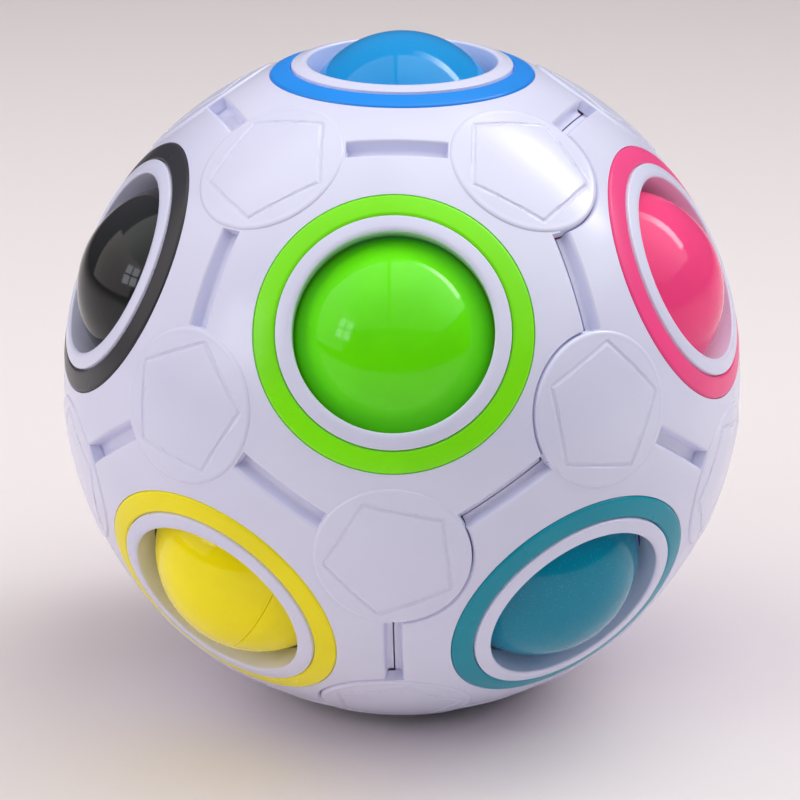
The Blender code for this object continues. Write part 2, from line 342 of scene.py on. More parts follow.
def pick_vertices(thing: Object, wanted: Callable[[Vector], bool]) -> None:
    """Selects the vertices in edit mode that a test on their place picks out.

    Args:
        thing: the object in edit mode.
        wanted: says for a place whether its vertex is picked.
    """
    bpy.ops.mesh.select_all(action="DESELECT")
    bpy.ops.object.mode_set(mode="OBJECT")
    for vertex in thing.data.vertices:
        vertex.select = wanted(vertex.co)
    bpy.ops.object.mode_set(mode="EDIT")


def draw_outline(name: str, points: Sequence[Point], filled: bool = False) -> Object:
    """Draws a profile in the X-Z plane by extruding one vertex from point to point.

    Args:
        name: the object's name.
        points: (x, z) places in order.
        filled: whether the last point is joined to the first, and the outline filled.

    Returns:
        The object, left in edit mode with all of it selected.
    """
    deselect()
    bpy.ops.mesh.primitive_circle_add(vertices=3, radius=MM, location=(0.0, 0.0, 0.0))
    thing = bpy.context.object
    thing.name = thing.data.name = name
    start_edit()
    bpy.ops.mesh.merge(type="CENTER")
    here = Vector(points[0])
    bpy.ops.transform.translate(value=(here.x, 0.0, here.y))
    for point in points[1:]:
        move = Vector(point) - here
        bpy.ops.mesh.extrude_vertices_move(
            TRANSFORM_OT_translate={"value": (move.x, 0.0, move.y)}
        )
        here = Vector(point)
    bpy.ops.mesh.select_all(action="SELECT")
    if filled:
        bpy.ops.mesh.edge_face_add()
    return thing


def turn_solid(name: str, points: Sequence[Point], steps: int, closed: bool = False) -> Object:
    """Spins a profile round the Z axis into a solid, like a piece on a lathe.

    Args:
        name: the object's name.
        points: (radius, height) places, from the axis out and back to it unless it is closed.
        steps: how many facets go round.
        closed: whether the profile is a loop that stays clear of the axis.

    Returns:
        The turned object.
    """
    thing = draw_outline(name, [*points, points[0]] if closed else points)
    bpy.ops.mesh.spin(
        steps=steps, angle=2.0 * math.pi, center=(0.0, 0.0, 0.0), axis=(0.0, 0.0, 1.0)
    )
    tidy_mesh()
    return thing


def put_in_place(thing: Object, place: Matrix) -> None:
    """Turns and shifts a mesh.

    Args:
        thing: the object that holds it.
        place: the turn and shift.
    """
    activate(thing)
    thing.matrix_world = place
    bpy.ops.object.transform_apply(location=True, rotation=True, scale=True)


def copy_piece(source: Object, name: str, place: Matrix) -> Object:
    """Copies a modelled piece, with a mesh of its own, and sets it in place.

    Args:
        source: the piece to copy.
        name: the copy's name.
        place: the turn and shift that are put into the copy's mesh.

    Returns:
        The copy.
    """
    activate(source)
    bpy.ops.object.duplicate(linked=False)
    thing = bpy.context.object
    thing.name = thing.data.name = name
    put_in_place(thing, place)
    return thing


def join_pieces(pieces: Sequence[Object], name: str) -> Object:
    """Joins pieces into one object.

    Args:
        pieces: what is joined.
        name: the joined object's name.

    Returns:
        The joined object.
    """
    activate(pieces[0])
    for piece in pieces:
        piece.select_set(True)
    bpy.ops.object.join()
    joined = bpy.context.object
    joined.name = joined.data.name = name
    return joined


def gather(source: Object, places: Iterable[Matrix]) -> Object:
    """Copies a piece to many places, joins the copies and removes the original.

    Args:
        source: the piece to copy.
        places: where each copy goes.

    Returns:
        One object that holds all the copies, under the original's name.
    """
    name = source.name
    copies = [copy_piece(source, f"{name}_{i}", place) for i, place in enumerate(places)]
    discard(source)
    return join_pieces(copies, name)


def discard(thing: Object) -> None:
    """Removes an object and its mesh."""
    bpy.data.meshes.remove(thing.data)


def carve(body: Object, tool: Object, operation: str) -> None:
    """Adds, cuts or intersects with a tool, which is used up, by an applied Boolean modifier.

    Args:
        body: the piece that changes.
        tool: the other shape.
        operation: UNION, DIFFERENCE or INTERSECT.
    """
    activate(body)
    step = body.modifiers.new(tool.name, "BOOLEAN")
    step.operation = operation
    step.solver = "MANIFOLD"
    step.object = tool
    bpy.ops.object.modifier_apply(modifier=step.name)
    discard(tool)


def set_down(thing: Object, lift: float) -> None:
    """Shades a modelled piece smooth, except across its sharp edges, and puts it over the table.

    Args:
        thing: the piece, modelled about the middle of the shell.
        lift: how high that middle is over the table.
    """
    activate(thing)
    bpy.ops.object.shade_smooth_by_angle(angle=SMOOTH_ANGLE, keep_sharp_edges=False)
    put_in_place(thing, Matrix.Translation((0.0, 0.0, lift)))


# ---- the shell


@dataclass(frozen=True)
class ShellSizes:
    """Sizes that the shell, its rings and its balls share."""

    radius: float = 35.0 * MM
    wall: float = 2.0 * MM
    hole: float = 9.6 * MM
    collar: float = 11.2 * MM
    collar_top: float = 33.698 * MM
    well: float = 13.35 * MM
    well_floor: float = 31.498 * MM
    well_floor_wall: float = 1.0 * MM
    ball: float = 10.5 * MM
    orbit: float = 26.0 * MM
    pad: float = 7.6 * MM
    seam_gap: float = 0.15 * MM

    @property
    def underside(self) -> float:
        """Height of the inner face of the wells' floors."""
        return self.well_floor - self.well_floor_wall


@dataclass
class Shell:
    """Both halves of the shell."""

    sizes: ShellSizes
    detail: int = 7
    inner_detail: int = 5
    facets: int = 96
    askew: tuple[float, float, float] = (0.13, 0.31, 0.07)
    cutter_reach: float = 1.0 * MM
    rim_steps: int = 4
    rim_rounding: float = 0.16 * MM
    collar_drop: float = 0.34 * MM
    collar_flat: float = 0.5 * MM
    collar_rounding: float = 1.2 * MM
    boss_overlap: float = 0.15 * MM
    boss_shoulder: float = 0.3 * MM
    boss_edge: float = 0.4 * MM
    bore_rounding: float = 0.2 * MM
    bore_depth: float = 2.0 * MM
    well_rounding: float = 0.2 * MM
    well_overlap: float = 0.01 * MM
    flare: float = 0.12 * MM
    ball_play: float = 0.15 * MM
    seat_relief: float = 0.05 * MM
    groove_half_width: float = 0.92 * MM
    groove_depth: float = 1.25 * MM
    groove_slope: float = 0.28 * MM
    groove_fillet: float = 0.35 * MM
    groove_rounding: float = 0.38 * MM
    groove_short_of_pad: float = 0.15 * MM
    groove_over: float = 0.6 * MM
    groove_steps: int = 12
    pad_proud: float = 0.13 * MM
    pad_sink: float = 0.03 * MM
    pad_soft_edge: float = 0.55 * MM
    pad_depth: float = 1.9 * MM
    pad_facets: int = 120
    pad_arcs: int = 26
    pad_edge_steps: int = 6
    pentagon: float = 6.65 * MM
    engraving_half_width: float = 0.3 * MM
    engraving_depth: float = 0.14 * MM
    # The engraved line's facet edges, as shares of its half width, and its bands: from, to, and
    # their share of its depth.
    engraving_lines: tuple[float, ...] = (-1.0, -0.55, 0.0, 0.55, 1.0)
    engraving_bands: tuple[tuple[float, float, float], ...] = ((0.0, 0.05, 1.0), (0.05, 0.6, 0.62))
    engraving_over_foot: float = 0.5 * MM
    crescent_gap: float = 0.07 * MM
    crescent_rounding: float = 0.6 * MM
    crescent_steps: int = 5
    # Shares of the shell's radius.
    crescent_foot: float = 0.7
    territory_reach: float = 1.5
    tongue_length: float = 8.0 * MM
    tongue_reach: float = 3.0 * MM
    tongue_root: float = 3.5 * MM
    tongue_thickness: float = 1.1 * MM
    tongue_clearance: float = 0.9 * MM
    tongue_bite: float = 0.8 * MM
    tongue_shoulder: float = 0.6 * MM
    halves: dict[Side, Object] = field(default_factory=dict)

    def ball_of(self, name: str, radius: float, detail: int) -> Object:
        """A finely faceted ball, turned so that no facet edge runs along a cut.

        Args:
            name: the object's name.
            radius: its radius.
            detail: how often the twenty-sided start is divided.

        Returns:
            The ball.
        """
        deselect()
        bpy.ops.mesh.primitive_ico_sphere_add(
            subdivisions=detail, radius=radius, location=(0.0, 0.0, 0.0), rotation=self.askew
        )
        bpy.ops.object.transform_apply(location=True, rotation=True, scale=True)
        thing = bpy.context.object
        thing.name = thing.data.name = name
        return thing

    def bosses(self) -> Object:
        """Thick bosses that the collars, bores and wells are cut from.

        Returns:
            All twelve, joined.
        """
        s = self.sizes
        edge = s.well + self.boss_overlap
        shoulder = s.well_floor + self.boss_shoulder
        profile = rounded(
            [
                (0.0, s.underside, 0.0),
                (s.hole + self.flare, s.underside, 0.0),
                (edge, s.well_floor - self.boss_edge, 0.0),
                (edge, shoulder, 0.0),
                (s.collar, shoulder, 0.0),
                (s.collar, s.collar_top - self.collar_drop, self.rim_rounding),
                (s.hole + self.collar_flat, s.collar_top, self.collar_rounding),
                (0.0, s.collar_top, 0.0),
            ]
        )
        half_facet = Matrix.Rotation(math.pi / self.facets, 4, "Z")
        boss = turn_solid("bosses", profile, self.facets)
        return gather(boss, [facing(hole.axis) @ half_facet for hole in Hole])

    def past_rim(self, foot: Sequence[Point], top: float, soft: float, steps: int) -> list[Point]:
        """A cutter's profile that softens a rim, then stands clear of it and of the shell.

        Args:
            foot: the profile below the rim, which ends on the cut's wall.
            top: the rim's height.
            soft: the rim's rounding.
            steps: how many straight pieces make the rounding.

        Returns:
            The whole profile.
        """
        wall = foot[-1][0]
        rim = quarter_round((wall, top - soft), (wall + soft, top), steps)
        clear = wall + 2 * soft
        above = self.sizes.radius + self.cutter_reach
        return [*foot, *rim, (clear, top + soft), (clear, above), (foot[0][0], above)]

    def wells(self) -> Object:
        """Cutter for the round wells that the coloured rings sit in, with softened rims.

        Returns:
            All twelve, joined.
        """
        s = self.sizes
        foot = [(s.collar - self.well_overlap, s.well_floor), (s.well, s.well_floor)]
        surface = math.sqrt(s.radius**2 - s.well**2)
        profile = self.past_rim(foot, surface, self.well_rounding, self.rim_steps)
        well = turn_solid("wells", profile, self.facets, closed=True)
        return gather(well, [facing(hole.axis) for hole in Hole])

    def bores(self) -> Object:
        """Cutter for the bores: rounded at the rim, straight, then flaring to seat the ball.

        Returns:
            All twelve, joined.
        """
        s = self.sizes
        touch = s.ball + self.ball_play
        seat = s.orbit + math.sqrt(touch**2 - s.hole**2) + self.seat_relief
        low = s.underside - self.bore_depth
        slope = self.flare / (seat - s.underside)
        foot = [(0.0, low), (s.hole + slope * (seat - low), low), (s.hole, seat)]
        profile = self.past_rim(foot, s.collar_top, self.bore_rounding, self.rim_steps)
        bore = turn_solid("bores", profile, self.facets)
        return gather(bore, [facing(hole.axis) for hole in Hole])

    def grooves(self) -> Object:
        """Cutter for the grooves: a round-bottomed trough swept along every edge.

        Returns:
            All thirty, joined.
        """
        s = self.sizes
        span = CORNER_SPACING - 2.0 * math.asin((s.pad + self.groove_short_of_pad) / s.radius)
        width, low = self.groove_half_width, s.radius - self.groove_depth
        right = rounded(
            [
                (0.0, low, 0.0),
                (width - self.groove_slope, low, self.groove_fillet),
                (width, s.radius, self.groove_rounding),
                (width + self.cutter_reach, s.radius, 0.0),
                (width + self.cutter_reach, s.radius + self.groove_over, 0.0),
            ]
        )
        left = [(-x, z) for x, z in reversed(right[1:])]
        trough = draw_outline("grooves", [*left, *right], filled=True)
        centre = (0.0, 0.0, 0.0)
        bpy.ops.transform.rotate(
            value=-span / 2, orient_axis="X", orient_type="GLOBAL", center_override=centre
        )
        bpy.ops.mesh.spin(steps=self.groove_steps, angle=span, center=centre, axis=(1.0, 0.0, 0.0))
        tidy_mesh()
        across = Matrix.Rotation(QUARTER, 4, "Z")
        return gather(trough, [edge.place @ across for edge in all_edges()])

    def pad(self) -> Object:
        """One round pad: a low dome with a soft edge and a five-sided line engraved in it.

        Returns:
            The pad, built about +Z.
        """
        s = self.sizes
        crown = s.radius + self.pad_proud
        brim = s.pad - self.pad_soft_edge
        dome = arc(crown, 0.0, math.asin(brim / crown), self.pad_arcs)
        edge = (s.pad, math.sqrt((s.radius - self.pad_sink) ** 2 - s.pad**2))
        side = quarter_round(dome[-1], edge, self.pad_edge_steps, level=True)
        foot = s.radius - self.pad_depth
        profile = [*dome, *side[1:], (s.pad, foot), (0.0, foot)]
        thing = turn_solid("pads", profile, self.pad_facets)
        self.engrave(thing)
        return thing

    @property
    def pentagon_sides(self) -> list[Vector]:
        """Unit vectors out across the engraved line's sides, with one corner towards +Y."""
        turns = [QUARTER + math.pi / 5 * (2 * side + 1) for side in range(5)]
        return [Vector((math.cos(turn), math.sin(turn), 0.0)) for turn in turns]

    def engrave(self, thing: Object) -> None:
        """Cuts a shallow five-sided line into a pad, with one corner towards +Y.

        Args:
            thing: the pad, built about +Z.
        """
        height = self.sizes.radius
        reach = self.pentagon * math.cos(math.pi / 5)
        activate(thing)
        start_edit()
        for outward in self.pentagon_sides:
            for line in self.engraving_lines:
                tilt = (reach + self.engraving_half_width * line) / height
                normal = (outward - Vector((0.0, 0.0, tilt))).normalized()
                bpy.ops.mesh.select_all(action="SELECT")
                bpy.ops.mesh.bisect(
                    plane_co=(0.0, 0.0, 0.0), plane_no=normal, threshold=MERGE / 10
                )
        foot = height - self.pad_depth + self.engraving_over_foot
        for low, high, share in self.engraving_bands:
            pick_vertices(
                thing,
                lambda place: place.z > foot
                and low <= self.from_pentagon(place) / self.engraving_half_width < high,
            )
            shrink = 1.0 - self.engraving_depth * share / height
            bpy.ops.transform.resize(value=[shrink] * 3, center_override=(0.0, 0.0, 0.0))
        end_edit()

    def from_pentagon(self, place: Vector) -> float:
        """Measures how far a place on the pad is from the middle of the engraved line.

        Args:
            place: the place.

        Returns:
            The distance.
        """
        flat = Vector((place.x, place.y, 0.0)) * self.sizes.radius / place.z
        reach = self.pentagon * math.cos(math.pi / 5)
        half_side = self.pentagon * math.sin(math.pi / 5)
        found = []
        for outward in self.pentagon_sides:
            along = Vector((-outward.y, outward.x, 0.0))
            past = max(0.0, abs(flat.dot(along)) - half_side)
            found.append(math.hypot(flat.dot(outward) - reach, past))
        return min(found)

    def territory(self, side: Side) -> Object:
        """The space that one half may fill: six five-sided cones that meet at the middle.

        Args:
            side: the half.

        Returns:
            The closed shape, drawn back from the seam a little.
        """
        reach = self.territory_reach * self.sizes.radius
        flip = Matrix.Translation((0.0, 0.0, reach / 2)) @ Matrix.Rotation(math.pi, 4, "X")
        cones = []
        for hole in side.holes:
            deselect()
            corner = next(corner.axis for corner in all_corners() if hole in corner.holes)
            base = reach * math.tan(hole.axis.angle(corner))
            bpy.ops.mesh.primitive_cone_add(vertices=5, radius1=base, depth=reach)
            cone = bpy.context.object
            local = facing(hole.axis).inverted() @ corner
            first = cone.data.vertices[0].co
            turn = math.atan2(local.y, local.x) - math.atan2(-first.y, first.x)
            put_in_place(cone, facing(hole.axis) @ Matrix.Rotation(turn, 4, "Z") @ flip)
            cones.append(cone)
        region = join_pieces(cones, f"territory_{side.label}")
        start_edit()
        bpy.ops.mesh.remove_doubles(threshold=10 * MERGE)
        bpy.ops.mesh.select_mode(type="FACE")
        bpy.ops.mesh.select_all(action="DESELECT")
        bpy.ops.mesh.select_interior_faces()
        bpy.ops.mesh.delete(type="FACE")
        tidy_mesh()
        seam = next(edge for edge in all_edges() if edge.crosses(side))
        slope = abs((seam.first.axis - seam.second.axis).normalized().dot(side.value.axis))
        draw_back = side.value.axis * self.sizes.seam_gap / 2 / slope
        put_in_place(region, Matrix.Translation(draw_back))
        return region

    def crescents(self, side: Side) -> Object:
        """Cutter for the room that the other half's pads need, with a rounded rim.

        Args:
            side: the half that is cut.

        Returns:
            The cutter.
        """
        s = self.sizes
        gap = s.pad + self.crescent_gap
        foot = [(0.0, self.crescent_foot * s.radius), (gap, self.crescent_foot * s.radius)]
        surface = math.sqrt(s.radius**2 - gap**2)
        profile = self.past_rim(foot, surface, self.crescent_rounding, self.crescent_steps)
        cutter = turn_solid("crescents", profile, self.facets)
        return gather(cutter, [facing(c.axis) for c in all_corners() if c.share(side) == 1])

    def tongues(self, side: Side) -> Object:
        """Locking tongues inside every second seam edge, which reach behind the other half.

        Args:
            side: the half that the tongues are moulded on.

        Returns:
            The five tongues.
        """
        inside = self.sizes.radius - self.sizes.wall
        top, bite = inside - self.tongue_clearance, inside + self.tongue_bite
        bottom = top - self.tongue_thickness
        outline = [
            (-self.tongue_reach, bottom),
            (self.tongue_root, bottom),
            (self.tongue_root, bite),
            (self.tongue_shoulder, bite),
            (self.tongue_shoulder, top),
            (-self.tongue_reach, top),
        ]
        tongue = draw_outline("tongues", outline, filled=True)
        length = self.tongue_length
        bpy.ops.mesh.extrude_region_move(TRANSFORM_OT_translate={"value": (0.0, length, 0.0)})
        bpy.ops.mesh.select_all(action="SELECT")
        bpy.ops.transform.translate(value=(0.0, -length / 2, 0.0))
        tidy_mesh()
        level = facing(Side.LEFT.value.axis).inverted()

        def round_the_pole(edge: Edge) -> float:
            """How far round the left half's pole an edge's middle is."""
            middle = level @ (edge.first.axis + edge.second.axis)
            return math.atan2(middle.y, middle.x)

        seam = sorted((edge for edge in all_edges() if edge.crosses(side)), key=round_the_pole)
        own = seam[0::2] if side is Side.LEFT else seam[1::2]
        turned = [
            edge if edge.first in side.holes else Edge(edge.second, edge.first) for edge in own
        ]
        quarter = Matrix.Rotation(QUARTER, 4, "Z")
        return gather(tongue, [edge.place @ quarter for edge in turned])

    def build(self) -> None:
        """Models the whole shell once, then divides it into its two halves."""
        s = self.sizes
        whole = self.ball_of("shell", s.radius, self.detail)
        carve(whole, self.ball_of("hollow", s.radius - s.wall, self.inner_detail), "DIFFERENCE")
        carve(whole, self.bosses(), "UNION")
        for cutter in (self.wells, self.bores, self.grooves):
            carve(whole, cutter(), "DIFFERENCE")
        pad = self.pad()
        for side in Side:
            half = copy_piece(whole, f"fine_shell_{side.label}", Matrix.Identity(4))
            carve(half, self.territory(side), "INTERSECT")
            carve(half, self.crescents(side), "DIFFERENCE")
            own = [corner for corner in all_corners() if corner.owner is side]
            pads = copy_piece(pad, "pads", Matrix.Identity(4))
            places = [pointing(corner.axis, corner.pointer.axis) for corner in own]
            carve(half, gather(pads, places), "UNION")
            carve(half, self.tongues(side), "UNION")
            set_down(half, s.collar_top)
            self.halves[side] = half
            log.info("shell half %s: %d faces", side.label, len(half.data.polygons))
        discard(whole)
        discard(pad)

    def dress(self, finish: Material) -> None:
        """Gives both halves their plastic and sets them to ride.

        Args:
            finish: the plastic.
        """
        for side, half in self.halves.items():
            half.data.materials.clear()
            half.data.materials.append(finish)
            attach(half, "shell")
            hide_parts(f"shell_half_{side.label}")


# ---- rings, balls and core


@dataclass
class Rings:
    """The twelve coloured rings, each pressed into the well round a collar."""

    sizes: ShellSizes
    gap: float = 0.03 * MM
    proud: float = 0.12 * MM
    inner_rounding: float = 0.28 * MM
    outer_rounding: float = 0.34 * MM
    rounding_steps: int = 6
    facets: int = 112
    rings: dict[Hole, Object] = field(default_factory=dict)

    def build(self) -> None:
        """Models one ring and copies it to every hole."""
        s = self.sizes
        inner, outer = s.collar + self.gap, s.well - self.gap
        floor = s.well_floor + self.gap
        crown = s.radius + self.proud
        profile = rounded(
            [
                (inner, floor, 0.0),
                (outer, floor, 0.0),
                (outer, math.sqrt(crown**2 - outer**2), self.outer_rounding),
                (inner, math.sqrt(crown**2 - inner**2), self.inner_rounding),
            ],
            self.rounding_steps,
        )
        model = turn_solid("ring", profile, self.facets, closed=True)
        for hole in Hole:
            ring = copy_piece(model, f"fine_ring_{hole.label}", facing(hole.axis))
            set_down(ring, s.collar_top)
            self.rings[hole] = ring
        discard(model)
        log.info("rings: %d", len(self.rings))

    def dress(self, finishes: dict[Hole, Material]) -> None:
        """Gives each ring its colour and sets it to ride.

        Args:
            finishes: the material of each hole's ring.
        """
        for hole, ring in self.rings.items():
            ring.data.materials.append(finishes[hole])
            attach(ring, "shell")
            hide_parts(f"ring_{hole.label}")


@dataclass
class Balls:
    """Eleven hollow balls, each of two cups welded at their rims."""

    sizes: ShellSizes
    wall: float = 1.3 * MM
    weld_half_gap: float = 0.035 * MM
    weld_rounding: float = 0.11 * MM
    weld_steps: int = 4
    facets: int = 88
    arcs: int = 24
    inner_arcs: int = 8
    # The yellow ball has rolled, so that its weld shows in the hole.
    yellow_tilt: float = math.radians(115.4)
    yellow_turn: float = math.radians(-48.1)
    cups: dict[tuple[Hole, str], Object] = field(default_factory=dict)

    def cup(self) -> Object:
        """Models half a ball, above its weld and open below.

        Returns:
            The cup.
        """
        top, bottom = self.sizes.ball, self.sizes.ball - self.wall
        low, soft = self.weld_half_gap, self.weld_rounding
        outside = arc(top, 0.0, QUARTER - math.asin((low + soft) / top), self.arcs)
        rim = quarter_round((top, low + soft), (top - soft, low), self.weld_steps)
        inside = arc(bottom, QUARTER, 0.0, self.inner_arcs)
        profile = [*outside, *rim[1:], (bottom, low), *inside[1:]]
        return turn_solid("cup", profile, self.facets)

    def build(self) -> None:
        """Models one cup and copies it to both halves of every ball."""
        model = self.cup()
        flip = Matrix.Rotation(math.pi, 4, "X")
        for hole in BALL_HOLES:
            place = Matrix.Translation(hole.axis * self.sizes.orbit) @ facing(hole.axis)
            if hole is Hole.YELLOW:
                tilt = Matrix.Rotation(self.yellow_tilt, 4, "Y")
                place = place @ Matrix.Rotation(self.yellow_turn, 4, "Z") @ tilt
            for half, turn in (("outer", Matrix.Identity(4)), ("inner", flip)):
                cup = copy_piece(model, f"fine_ball_{hole.label}_{half}", place @ turn)
                set_down(cup, self.sizes.collar_top)
                self.cups[hole, half] = cup
        discard(model)
        log.info("ball cups: %d", len(self.cups))

    def dress(self, finishes: dict[Hole, Material]) -> None:
        """Gives each ball its colour and sets it to ride.

        Args:
            finishes: the material of each hole's ball.
        """
        for (hole, half), cup in self.cups.items():
            cup.data.materials.append(finishes[hole])
            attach(cup, f"ball_{hole.label}")
            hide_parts(f"ball_{hole.label}_{half}")


@dataclass
class Core:
    """The hollow rubber ball that holds the others out, vented towards the empty hole."""

    sizes: ShellSizes
    gap: float = 0.3 * MM
    wall: float = 2.0 * MM
    vent: float = 1.5 * MM
    vent_rounding: float = 0.3 * MM
    vent_steps: int = 3
    facets: int = 64
    arcs: int = 28
    inner_arcs: int = 20
    body: Object | None = None

    def build(self) -> None:
        """Turns the core."""
        outside = self.sizes.orbit - self.sizes.ball - self.gap
        inside = outside - self.wall
        brim = self.vent + self.vent_rounding
        mouth = -math.sqrt(outside**2 - brim**2)
        outer = arc(outside, 0.0, math.pi - math.asin(brim / outside), self.arcs)
        lip_end = (self.vent, mouth + self.vent_rounding)
        lip = quarter_round((brim, mouth), lip_end, self.vent_steps, level=True)
        inner = arc(inside, math.pi - math.asin(self.vent / inside), 0.0, self.inner_arcs)
        self.body = turn_solid("fine_core", [*outer, *lip[1:], *inner], self.facets)
        set_down(self.body, self.sizes.collar_top)
        log.info("core: %d faces", len(self.body.data.polygons))

    def dress(self, finish: Material) -> None:
        """Gives the core its rubber and sets it to ride.

        Args:
            finish: the rubber.
        """
        self.body.data.materials.append(finish)
        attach(self.body, "shell")
        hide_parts("core_ball")


# ---- finishes


def linear(code: str) -> Colour:
    """Turns an sRGB hex colour into a linear one.

    Args:
        code: six hex digits after a #.

    Returns:
        Red, green, blue and alpha.
    """
    parts = [int(code[index : index + 2], 16) / 255.0 for index in (1, 3, 5)]
    return (*(c / 12.92 if c <= 0.04045 else ((c + 0.055) / 1.055) ** 2.4 for c in parts), 1.0)


def tint(colour: Colour, gain: float, lift: float = 0.0) -> Colour:
    """A linear colour made brighter or darker."""
    return (*(min(1.0, channel * gain + lift) for channel in colour[:3]), 1.0)


def add_node(
    tree: bpy.types.NodeTree, kind: str, settings: dict | None = None, links: dict | None = None
) -> bpy.types.Node:
    """Adds one node, with its settings and links.

    Args:
        tree: where the node goes.
        kind: the node's type, after ShaderNode.
        settings: values of the node's inputs, by name or number, or of its own properties.
        links: the outputs that feed its inputs.

    Returns:
        The node.
    """
    node = tree.nodes.new(f"ShaderNode{kind}")
    for name, value in (settings or {}).items():
        if isinstance(name, str) and hasattr(node, name):
            setattr(node, name, value)
        else:
            node.inputs[name].default_value = value
    for name, source in (links or {}).items():
        tree.links.new(source, node.inputs[name])
    return node


class Surface:
    """A material in the making, with the patterns that the finishes are made of."""

    def __init__(self, name: str, **values: float | Colour) -> None:
        """Starts the material.

        Args:
            name: the material's name.
            values: values of the shader's own sockets, with _ for each space.
        """
        self.material = bpy.data.materials.new(name)
        self.material.use_nodes = True
        self.tree = self.material.node_tree
        self.shader = self.tree.nodes["Principled BSDF"]
        for socket, value in values.items():
            self.shader.inputs[socket.replace("_", " ")].default_value = value
        self.place = add_node(self.tree, "TexCoord").outputs["Object"]

    def feed(self, socket: str, source: Socket) -> None:
        """Links a pattern to one of the shader's sockets."""
        self.tree.links.new(source, self.shader.inputs[socket])

    def cloud(
        self, size: float, low: float = 0.0, high: float = 1.0, detail: float = SOFT_DETAIL
    ) -> Socket:
        """A soft cloudy pattern.

        Args:
            size: the size of a cloud.
            low: the pattern's lowest value.
            high: its highest value.
            detail: how many finer layers it has.

        Returns:
            The pattern's value.
        """
        settings = {"Scale": 1.0 / size, "Detail": detail}
        noise = add_node(self.tree, "TexNoise", settings, {"Vector": self.place})
        limits = {"From Min": NOISE_LOW, "From Max": NOISE_HIGH, "To Min": low, "To Max": high}
        spread = add_node(self.tree, "MapRange", limits, {"Value": noise.outputs["Fac"]})
        return spread.outputs["Result"]

    def specks(self, spacing: float, radius: float, share: float) -> Socket:
        """Scattered dots.

        Args:
            spacing: how far apart dots could be.
            radius: a dot's radius.
            share: how many of the possible dots there are, from 0 to 1.

        Returns:
            1 in a dot and 0 elsewhere.
        """
        cells = add_node(self.tree, "TexVoronoi", {"Scale": 1.0 / spacing}, {"Vector": self.place})
        near, chosen = (
            add_node(self.tree, "Math", {"operation": "LESS_THAN", 1: limit}, {0: output})
            for limit, output in (
                (radius / spacing, cells.outputs["Distance"]),
                (share, cells.outputs["Color"]),
            )
        )
        both = {0: near.outputs["Value"], 1: chosen.outputs["Value"]}
        return add_node(self.tree, "Math", {"operation": "MULTIPLY"}, both).outputs["Value"]

    def paint(self, base: Colour, *layers: tuple[Socket, Colour]) -> None:
        """Lays colours over a base colour, each where its pattern says.

        Args:
            base: the colour underneath.
            layers: each layer's pattern and colour, from the lowest up.
        """
        lower = {}
        for share, colour in layers:
            settings = {"data_type": "RGBA", MIX_LOWER: base, MIX_UPPER: colour}
            mixed = add_node(self.tree, "Mix", settings, {0: share} | lower)
            lower = {MIX_LOWER: mixed.outputs[MIX_RESULT]}
        self.feed("Base Color", lower[MIX_LOWER])

    def ripple(self, size: float, strength: float, depth: float) -> None:
        """Makes the surface softly uneven.

        Args:
            size: the size of a ripple.
            strength: how much of it shows.
            depth: its real depth.
        """
        settings = {"Scale": 1.0 / size, "Detail": SOFT_DETAIL}
        noise = add_node(self.tree, "TexNoise", settings, {"Vector": self.place})
        settings = {"Strength": strength, "Distance": depth}
        bump = add_node(self.tree, "Bump", settings, {"Height": noise.outputs["Fac"]})
        self.feed("Normal", bump.outputs["Normal"])


@dataclass(frozen=True)
class ShellPlastic:
    """White ABS with a blue-violet brightener, injection moulded in a lightly polished tool.

    The eye gets a soft satin gloss, a faint ripple in it from the tool, and a few specks of dust.
    """

    name: str = "abs_white_moulded_satin"
    colour: str = "#E5E6FC"
    shade: str = "#DEDFF7"
    dust: str = "#8E8690"
    ior: float = 1.5
    roughness: tuple[float, float] = (0.20, 0.24)
    mottle: float = 14.0 * MM
    ripple: float = 5.0 * MM
    ripple_strength: float = 0.12
    ripple_depth: float = 0.08 * MM
    dust_spacing: float = 3.0 * MM
    dust_size: float = 0.055 * MM
    dust_share: float = 0.12

    def make(self) -> Material:
        """Makes the material.

        Returns:
            The material.
        """
        surface = Surface(self.name, IOR=self.ior)
        dots = surface.specks(self.dust_spacing, self.dust_size, self.dust_share)
        shade = (surface.cloud(self.mottle), linear(self.shade))
        surface.paint(linear(self.colour), shade, (dots, linear(self.dust)))
        surface.feed("Roughness", surface.cloud(self.ripple, *self.roughness))
        surface.ripple(self.ripple, self.ripple_strength, self.ripple_depth)
        return surface.material


@dataclass(frozen=True)
class RingPlastic:
    """Coloured ABS, injection moulded and pressed in.

    The eye gets an even satin gloss that handling has left a little uneven.
    """

    label: str
    colour: str
    ior: float = 1.38
    # Painted light: the ring glows faintly in its own colour, though it is no lamp, which lightens
    # its shaded parts as if light came through the plastic.
    glow: float = 0.05
    depth: float = 0.86
    roughness: tuple[float, float] = (0.27, 0.31)
    wear: float = 6.0 * MM

    def make(self) -> Material:
        """Makes the material.

        Returns:
            The material.
        """
        base = linear(self.colour)
        name = f"abs_{self.label}_ring_satin"
        # The emission here is the painted glow, not a lamp.
        surface = Surface(name, IOR=self.ior, Emission_Color=base, Emission_Strength=self.glow)
        surface.paint(base, (surface.cloud(2 * self.wear), tint(base, self.depth)))
        surface.feed("Roughness", surface.cloud(self.wear, *self.roughness))
        return surface.material


